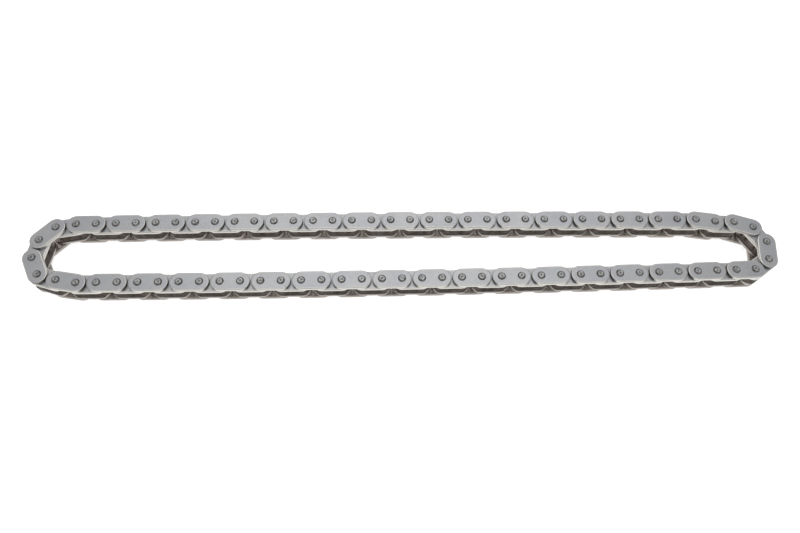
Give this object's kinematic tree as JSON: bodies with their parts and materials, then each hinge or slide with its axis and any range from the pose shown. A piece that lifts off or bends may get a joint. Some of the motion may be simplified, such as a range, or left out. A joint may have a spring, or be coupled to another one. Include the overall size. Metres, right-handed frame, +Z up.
{
  "type": "timing chain",
  "caption": "Endless single-row bush timing chain, lying on its side as a long loop of riveted outer links and bushed inner links.",
  "frame": {"origin": "on the floor, under the middle of the loop's box", "axes": "+X along the loop towards its tighter bend, +Y towards the far run, +Z up, along the pins"},
  "size_m": [0.3646, 0.0408, 0.0134],
  "materials": {
    "link_steel": "satin steel links with a thin film of oil",
    "plate_steel": "satin stamped steel plate",
    "pin_steel": "hardened steel pin with riveted ends",
    "bush_steel": "smooth case-hardened bush"
  },
  "bodies": {
    "closing_link": {"closing_link_lower_plate": "plate_steel", "closing_link_upper_plate": "plate_steel", "closing_link_first_pin": "pin_steel", "closing_link_second_pin": "pin_steel"},
    "inner_link_09": {"inner_link_09": "link_steel"},
    "link_pair_10": {"link_pair_10": "link_steel"},
    "link_pair_11": {"link_pair_11": "link_steel"},
    "link_pair_12": {"link_pair_12": "link_steel"},
    "link_pair_13": {"link_pair_13": "link_steel"},
    "link_pair_14": {"link_pair_14": "link_steel"},
    "link_pair_15": {"link_pair_15": "link_steel"},
    "outer_link_16": {"outer_link_16": "link_steel"},
    "inner_link_16": {"inner_link_16": "link_steel"},
    "outer_link_17": {"outer_link_17": "link_steel"},
    "inner_link_17": {"inner_link_17": "link_steel"},
    "outer_link_18": {"outer_link_18": "link_steel"},
    "inner_link_18": {"inner_link_18": "link_steel"},
    "outer_link_19": {"outer_link_19": "link_steel"},
    "inner_link_19": {"inner_link_19": "link_steel"},
    "outer_link_20": {"outer_link_20": "link_steel"},
    "inner_link_20": {"inner_link_20": "link_steel"},
    "outer_link_21": {"outer_link_21": "link_steel"},
    "inner_link_21": {"inner_link_21": "link_steel"},
    "link_pair_22": {"link_pair_22": "link_steel"},
    "link_pair_23": {"link_pair_23": "link_steel"},
    "link_pair_24": {"link_pair_24": "link_steel"},
    "link_pair_25": {"link_pair_25": "link_steel"},
    "link_pair_26": {"link_pair_26": "link_steel"},
    "link_pair_27": {"link_pair_27": "link_steel"},
    "link_pair_28": {"link_pair_28": "link_steel"},
    "link_pair_29": {"link_pair_29": "link_steel"},
    "link_pair_30": {"link_pair_30": "link_steel"},
    "link_pair_31": {"link_pair_31": "link_steel"},
    "link_pair_32": {"link_pair_32": "link_steel"},
    "link_pair_33": {"link_pair_33": "link_steel"},
    "link_pair_34": {"link_pair_34": "link_steel"},
    "outer_link_35": {"outer_link_35": "link_steel"},
    "inner_link_35": {"inner_link_35": "link_steel"},
    "outer_link_36": {"outer_link_36": "link_steel"},
    "inner_link_36": {"inner_link_36": "link_steel"},
    "outer_link_37": {"outer_link_37": "link_steel"},
    "inner_link_37": {"inner_link_37": "link_steel"},
    "outer_link_38": {"outer_link_38": "link_steel"},
    "inner_link_38": {"inner_link_38": "link_steel"},
    "outer_link_39": {"outer_link_39": "link_steel"},
    "inner_link_39": {"inner_link_39": "link_steel"},
    "outer_link_01": {"outer_link_01": "link_steel"},
    "inner_link_01": {"inner_link_01": "link_steel"},
    "link_pair_02": {"link_pair_02": "link_steel"},
    "link_pair_03": {"link_pair_03": "link_steel"},
    "link_pair_04": {"link_pair_04": "link_steel"},
    "link_pair_05": {"link_pair_05": "link_steel"},
    "link_pair_06": {"link_pair_06": "link_steel"},
    "link_pair_07": {"link_pair_07": "link_steel"},
    "outer_link_08": {"outer_link_08": "link_steel"},
    "last_inner_link": {"last_inner_link_lower_plate": "plate_steel", "last_inner_link_upper_plate": "plate_steel", "last_inner_link_first_bush": "bush_steel", "last_inner_link_second_bush": "bush_steel"}
  },
  "joints": [
    {"name": "hinge_59", "type": "hinge", "parent": "link_pair_29", "child": "link_pair_30", "pos_m": [-0.03608, 0.01577, 0.00668], "axis": [0, 0, 1], "range_deg": [-20.3, 20.3]},
    {"name": "hinge_61", "type": "hinge", "parent": "link_pair_30", "child": "link_pair_31", "pos_m": [-0.05513, 0.01581, 0.00668], "axis": [0, 0, 1], "range_deg": [-20.3, 20.3]},
    {"name": "hinge_63", "type": "hinge", "parent": "link_pair_31", "child": "link_pair_32", "pos_m": [-0.07418, 0.01583, 0.00668], "axis": [0, 0, 1], "range_deg": [-20.3, 20.3]},
    {"name": "hinge_65", "type": "hinge", "parent": "link_pair_32", "child": "link_pair_33", "pos_m": [-0.09323, 0.01582, 0.00668], "axis": [0, 0, 1], "range_deg": [-20.3, 20.3]},
    {"name": "hinge_67", "type": "hinge", "parent": "link_pair_33", "child": "link_pair_34", "pos_m": [-0.11228, 0.01578, 0.00668], "axis": [0, 0, 1], "range_deg": [-20.3, 20.3]},
    {"name": "hinge_69", "type": "hinge", "parent": "link_pair_34", "child": "outer_link_35", "pos_m": [-0.13133, 0.01571, 0.00668], "axis": [0, 0, 1], "range_deg": [-20.3, 20.3]},
    {"name": "hinge_70", "type": "hinge", "parent": "outer_link_35", "child": "inner_link_35", "pos_m": [-0.14086, 0.01567, 0.00668], "axis": [0, 0, 1], "range_deg": [-20.3, 20.3]},
    {"name": "hinge_71", "type": "hinge", "parent": "inner_link_35", "child": "outer_link_36", "pos_m": [-0.15038, 0.01562, 0.00668], "axis": [0, 0, 1], "range_deg": [-20.3, 20.3]},
    {"name": "hinge_72", "type": "hinge", "parent": "outer_link_36", "child": "inner_link_36", "pos_m": [-0.15991, 0.01556, 0.00668], "axis": [0, 0, 1], "range_deg": [-20.3, 20.3]},
    {"name": "hinge_73", "type": "hinge", "parent": "inner_link_36", "child": "outer_link_37", "pos_m": [-0.16931, 0.01401, 0.00668], "axis": [0, 0, 1], "range_deg": [-20.3, 20.3]},
    {"name": "hinge_74", "type": "hinge", "parent": "outer_link_37", "child": "inner_link_37", "pos_m": [-0.176, 0.00723, 0.00668], "axis": [0, 0, 1], "range_deg": [-20.3, 20.3]},
    {"name": "hinge_75", "type": "hinge", "parent": "inner_link_37", "child": "outer_link_38", "pos_m": [-0.17775, -0.00213, 0.00668], "axis": [0, 0, 1], "range_deg": [-20.3, 20.3]},
    {"name": "hinge_76", "type": "hinge", "parent": "outer_link_38", "child": "inner_link_38", "pos_m": [-0.17366, -0.01073, 0.00668], "axis": [0, 0, 1], "range_deg": [-20.3, 20.3]},
    {"name": "hinge_77", "type": "hinge", "parent": "inner_link_38", "child": "outer_link_39", "pos_m": [-0.16463, -0.01376, 0.00668], "axis": [0, 0, 1], "range_deg": [-20.3, 20.3]},
    {"name": "hinge_78", "type": "hinge", "parent": "outer_link_39", "child": "inner_link_39", "pos_m": [-0.15524, -0.01534, 0.00668], "axis": [0, 0, 1], "range_deg": [-20.3, 20.3]},
    {"name": "sway_06", "type": "hinge", "parent": "inner_link_39", "child": "outer_link_01", "pos_m": [-0.14571, -0.01543, 0.00668], "axis": [0, 0, 1], "range_deg": [-20, 20]},
    {"name": "sway_05", "type": "hinge", "parent": "outer_link_01", "child": "inner_link_01", "pos_m": [-0.13619, -0.0155, 0.00668], "axis": [0, 0, 1], "range_deg": [-20, 20]},
    {"name": "hinge_03", "type": "hinge", "parent": "inner_link_01", "child": "link_pair_02", "pos_m": [-0.12666, -0.01557, 0.00668], "axis": [0, 0, 1], "range_deg": [-20.3, 20.3]},
    {"name": "sway_08", "type": "hinge", "parent": "link_pair_02", "child": "link_pair_03", "pos_m": [-0.10761, -0.01569, 0.00668], "axis": [0, 0, 1], "range_deg": [-20, 20]},
    {"name": "hinge_07", "type": "hinge", "parent": "link_pair_03", "child": "link_pair_04", "pos_m": [-0.08856, -0.01577, 0.00668], "axis": [0, 0, 1], "range_deg": [-20.3, 20.3]},
    {"name": "sway_09", "type": "hinge", "parent": "link_pair_04", "child": "link_pair_05", "pos_m": [-0.06951, -0.01581, 0.00668], "axis": [0, 0, 1], "range_deg": [-20, 20]},
    {"name": "hinge_11", "type": "hinge", "parent": "link_pair_05", "child": "link_pair_06", "pos_m": [-0.05046, -0.01583, 0.00668], "axis": [0, 0, 1], "range_deg": [-20.3, 20.3]},
    {"name": "sway_10", "type": "hinge", "parent": "link_pair_06", "child": "link_pair_07", "pos_m": [-0.03141, -0.01581, 0.00668], "axis": [0, 0, 1], "range_deg": [-20, 20]},
    {"name": "hinge_15", "type": "hinge", "parent": "link_pair_07", "child": "outer_link_08", "pos_m": [-0.01236, -0.01575, 0.00668], "axis": [0, 0, 1], "range_deg": [-20.3, 20.3]},
    {"name": "sway_07", "type": "hinge", "parent": "outer_link_08", "child": "last_inner_link", "pos_m": [-0.00284, -0.01572, 0.00668], "axis": [0, 0, 1], "range_deg": [-20, 20]},
    {"name": "hinge_57", "type": "hinge", "parent": "link_pair_29", "child": "link_pair_28", "pos_m": [-0.01703, 0.0157, 0.00668], "axis": [0, 0, 1], "range_deg": [-20.3, 20.3]},
    {"name": "hinge_55", "type": "hinge", "parent": "link_pair_28", "child": "link_pair_27", "pos_m": [0.00202, 0.01561, 0.00668], "axis": [0, 0, 1], "range_deg": [-20.3, 20.3]},
    {"name": "hinge_53", "type": "hinge", "parent": "link_pair_27", "child": "link_pair_26", "pos_m": [0.02107, 0.01549, 0.00668], "axis": [0, 0, 1], "range_deg": [-20.3, 20.3]},
    {"name": "hinge_51", "type": "hinge", "parent": "link_pair_26", "child": "link_pair_25", "pos_m": [0.04012, 0.01534, 0.00668], "axis": [0, 0, 1], "range_deg": [-20.3, 20.3]},
    {"name": "hinge_49", "type": "hinge", "parent": "link_pair_25", "child": "link_pair_24", "pos_m": [0.05916, 0.01517, 0.00668], "axis": [0, 0, 1], "range_deg": [-20.3, 20.3]},
    {"name": "hinge_47", "type": "hinge", "parent": "link_pair_24", "child": "link_pair_23", "pos_m": [0.07821, 0.01497, 0.00668], "axis": [0, 0, 1], "range_deg": [-20.3, 20.3]},
    {"name": "hinge_45", "type": "hinge", "parent": "link_pair_23", "child": "link_pair_22", "pos_m": [0.09726, 0.01474, 0.00668], "axis": [0, 0, 1], "range_deg": [-20.3, 20.3]},
    {"name": "hinge_43", "type": "hinge", "parent": "link_pair_22", "child": "inner_link_21", "pos_m": [0.11631, 0.01449, 0.00668], "axis": [0, 0, 1], "range_deg": [-20.3, 20.3]},
    {"name": "hinge_42", "type": "hinge", "parent": "inner_link_21", "child": "outer_link_21", "pos_m": [0.12583, 0.01435, 0.00668], "axis": [0, 0, 1], "range_deg": [-20.3, 20.3]},
    {"name": "hinge_41", "type": "hinge", "parent": "outer_link_21", "child": "inner_link_20", "pos_m": [0.13536, 0.01421, 0.00668], "axis": [0, 0, 1], "range_deg": [-20.3, 20.3]},
    {"name": "hinge_40", "type": "hinge", "parent": "inner_link_20", "child": "outer_link_20", "pos_m": [0.14488, 0.01406, 0.00668], "axis": [0, 0, 1], "range_deg": [-20.3, 20.3]},
    {"name": "sway_03", "type": "hinge", "parent": "outer_link_20", "child": "inner_link_19", "pos_m": [0.1543, 0.01264, 0.00668], "axis": [0, 0, 1], "range_deg": [-20, 20]},
    {"name": "sway_01", "type": "hinge", "parent": "inner_link_19", "child": "outer_link_19", "pos_m": [0.16382, 0.01226, 0.00668], "axis": [0, 0, 1], "range_deg": [-20, 20]},
    {"name": "hinge_37", "type": "hinge", "parent": "outer_link_19", "child": "inner_link_18", "pos_m": [0.17287, 0.00929, 0.00668], "axis": [0, 0, 1], "range_deg": [-20.3, 20.3]},
    {"name": "hinge_36", "type": "hinge", "parent": "inner_link_18", "child": "outer_link_18", "pos_m": [0.17775, 0.00111, 0.00668], "axis": [0, 0, 1], "range_deg": [-20.3, 20.3]},
    {"name": "sway_02", "type": "hinge", "parent": "outer_link_18", "child": "inner_link_17", "pos_m": [0.17654, -0.00834, 0.00668], "axis": [0, 0, 1], "range_deg": [-20, 20]},
    {"name": "sway_04", "type": "hinge", "parent": "inner_link_17", "child": "outer_link_17", "pos_m": [0.1686, -0.01359, 0.00668], "axis": [0, 0, 1], "range_deg": [-20, 20]},
    {"name": "hinge_33", "type": "hinge", "parent": "outer_link_17", "child": "inner_link_16", "pos_m": [0.15907, -0.01378, 0.00668], "axis": [0, 0, 1], "range_deg": [-20.3, 20.3]},
    {"name": "hinge_32", "type": "hinge", "parent": "inner_link_16", "child": "outer_link_16", "pos_m": [0.14955, -0.01396, 0.00668], "axis": [0, 0, 1], "range_deg": [-20.3, 20.3]},
    {"name": "hinge_31", "type": "hinge", "parent": "outer_link_16", "child": "link_pair_15", "pos_m": [0.14003, -0.01414, 0.00668], "axis": [0, 0, 1], "range_deg": [-20.3, 20.3]},
    {"name": "sway_12", "type": "hinge", "parent": "link_pair_15", "child": "link_pair_14", "pos_m": [0.12098, -0.01445, 0.00668], "axis": [0, 0, 1], "range_deg": [-20, 20]},
    {"name": "hinge_27", "type": "hinge", "parent": "link_pair_14", "child": "link_pair_13", "pos_m": [0.10193, -0.01474, 0.00668], "axis": [0, 0, 1], "range_deg": [-20.3, 20.3]},
    {"name": "hinge_25", "type": "hinge", "parent": "link_pair_13", "child": "link_pair_12", "pos_m": [0.08288, -0.01499, 0.00668], "axis": [0, 0, 1], "range_deg": [-20.3, 20.3]},
    {"name": "sway_11", "type": "hinge", "parent": "link_pair_12", "child": "link_pair_11", "pos_m": [0.06383, -0.01521, 0.00668], "axis": [0, 0, 1], "range_deg": [-20, 20]},
    {"name": "hinge_21", "type": "hinge", "parent": "link_pair_11", "child": "link_pair_10", "pos_m": [0.04479, -0.0154, 0.00668], "axis": [0, 0, 1], "range_deg": [-20.3, 20.3]},
    {"name": "hinge_19", "type": "hinge", "parent": "link_pair_10", "child": "inner_link_09", "pos_m": [0.02574, -0.01555, 0.00668], "axis": [0, 0, 1], "range_deg": [-20.3, 20.3]},
    {"name": "hinge_18", "type": "hinge", "parent": "inner_link_09", "child": "closing_link", "pos_m": [0.01621, -0.01561, 0.00668], "axis": [0, 0, 1], "range_deg": [-20.3, 20.3]}
  ],
  "couplings": [
    {"joint": "hinge_37", "follows": "sway_01", "ratio": -1},
    {"joint": "hinge_76", "follows": "sway_01", "ratio": 1},
    {"joint": "hinge_77", "follows": "sway_01", "ratio": -1},
    {"joint": "hinge_36", "follows": "sway_02", "ratio": -1},
    {"joint": "hinge_74", "follows": "sway_02", "ratio": -1},
    {"joint": "hinge_75", "follows": "sway_02", "ratio": 1},
    {"joint": "hinge_40", "follows": "sway_03", "ratio": -1},
    {"joint": "hinge_72", "follows": "sway_03", "ratio": -1},
    {"joint": "hinge_73", "follows": "sway_03", "ratio": 1},
    {"joint": "hinge_19", "follows": "sway_03", "ratio": 1},
    {"joint": "hinge_21", "follows": "sway_03", "ratio": -1},
    {"joint": "hinge_33", "follows": "sway_04", "ratio": -1},
    {"joint": "hinge_41", "follows": "sway_04", "ratio": -1},
    {"joint": "hinge_42", "follows": "sway_04", "ratio": 1},
    {"joint": "hinge_03", "follows": "sway_05", "ratio": -1},
    {"joint": "hinge_70", "follows": "sway_05", "ratio": 1},
    {"joint": "hinge_71", "follows": "sway_05", "ratio": -1},
    {"joint": "hinge_78", "follows": "sway_06", "ratio": -1},
    {"joint": "hinge_31", "follows": "sway_06", "ratio": 1},
    {"joint": "hinge_32", "follows": "sway_06", "ratio": -1},
    {"joint": "hinge_43", "follows": "sway_06", "ratio": 1},
    {"joint": "hinge_45", "follows": "sway_06", "ratio": -1},
    {"joint": "hinge_18", "follows": "sway_07", "ratio": 1},
    {"joint": "hinge_55", "follows": "sway_07", "ratio": -1},
    {"joint": "hinge_57", "follows": "sway_07", "ratio": 1},
    {"joint": "hinge_07", "follows": "sway_08", "ratio": -1},
    {"joint": "hinge_67", "follows": "sway_08", "ratio": 1},
    {"joint": "hinge_69", "follows": "sway_08", "ratio": -1},
    {"joint": "hinge_11", "follows": "sway_09", "ratio": -1},
    {"joint": "hinge_63", "follows": "sway_09", "ratio": 1},
    {"joint": "hinge_65", "follows": "sway_09", "ratio": -1},
    {"joint": "hinge_15", "follows": "sway_10", "ratio": -1},
    {"joint": "hinge_59", "follows": "sway_10", "ratio": 1},
    {"joint": "hinge_61", "follows": "sway_10", "ratio": -1},
    {"joint": "hinge_25", "follows": "sway_11", "ratio": -1},
    {"joint": "hinge_51", "follows": "sway_11", "ratio": 1},
    {"joint": "hinge_53", "follows": "sway_11", "ratio": -1},
    {"joint": "hinge_27", "follows": "sway_12", "ratio": -1},
    {"joint": "hinge_47", "follows": "sway_12", "ratio": -1},
    {"joint": "hinge_49", "follows": "sway_12", "ratio": 1}
  ]
}
